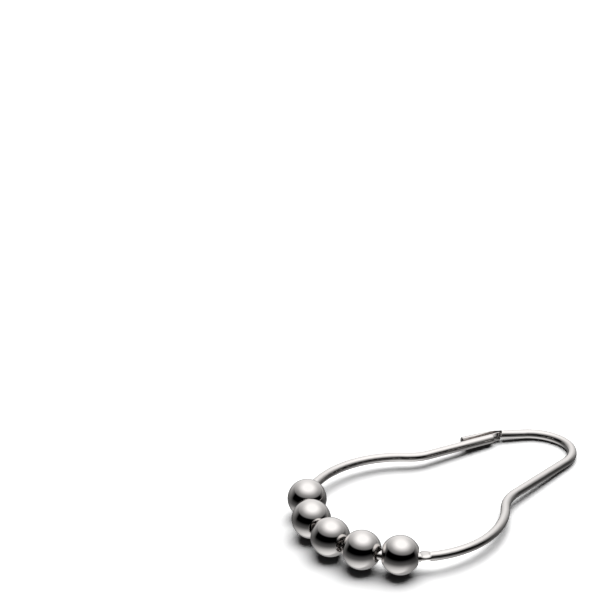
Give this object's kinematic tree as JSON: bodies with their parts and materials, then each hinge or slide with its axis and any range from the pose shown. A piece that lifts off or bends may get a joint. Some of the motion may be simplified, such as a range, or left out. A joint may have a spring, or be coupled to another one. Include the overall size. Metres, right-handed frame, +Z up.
{
  "type": "shower curtain hook",
  "caption": "Pear-shaped wire hook that closes with an interlocking latch; hollow roller balls on its wide end run along a curtain rod.",
  "frame": {"origin": "on the floor under the middle of the hook as it lies", "axes": "+Z up, +Y along the hook from the balls to the narrow bend, +X towards the leg without the latch"},
  "size_m": [0.0502, 0.0816, 0.0095],
  "materials": {
    "drawn_wire": "bright, with fine lengthwise drawing marks",
    "polished_ball": "mirror polish"
  },
  "bodies": {
    "wire": {"hook_wire": "drawn_wire"},
    "ball_1": {"roller_ball_1": "polished_ball"},
    "ball_2": {"roller_ball_2": "polished_ball"},
    "ball_3": {"roller_ball_3": "polished_ball"},
    "ball_4": {"roller_ball_4": "polished_ball"},
    "ball_5": {"roller_ball_5": "polished_ball"}
  },
  "joints": [
    {"name": "ball_1_spin", "type": "hinge", "parent": "wire", "child": "ball_1", "pos_m": [-0.01721, -0.0287, 0.00475], "axis": [0.6913, -0.7218, 0.0325], "continuous": true},
    {"name": "ball_2_spin", "type": "hinge", "parent": "wire", "child": "ball_2", "pos_m": [-0.00953, -0.03406, 0.00475], "axis": [0.9165, -0.3997, 0.018], "continuous": true},
    {"name": "ball_3_spin", "type": "hinge", "parent": "wire", "child": "ball_3", "pos_m": [-0.00037, -0.03605, 0.00475], "axis": [0.9999, -0.0157, 0.0007], "continuous": true},
    {"name": "ball_4_spin", "type": "hinge", "parent": "wire", "child": "ball_4", "pos_m": [0.00884, -0.03435, 0.00475], "axis": [0.9286, 0.3707, -0.0167], "continuous": true},
    {"name": "ball_5_spin", "type": "hinge", "parent": "wire", "child": "ball_5", "pos_m": [0.01669, -0.02924, 0.00475], "axis": [0.7137, 0.6998, -0.0316], "continuous": true}
  ]
}
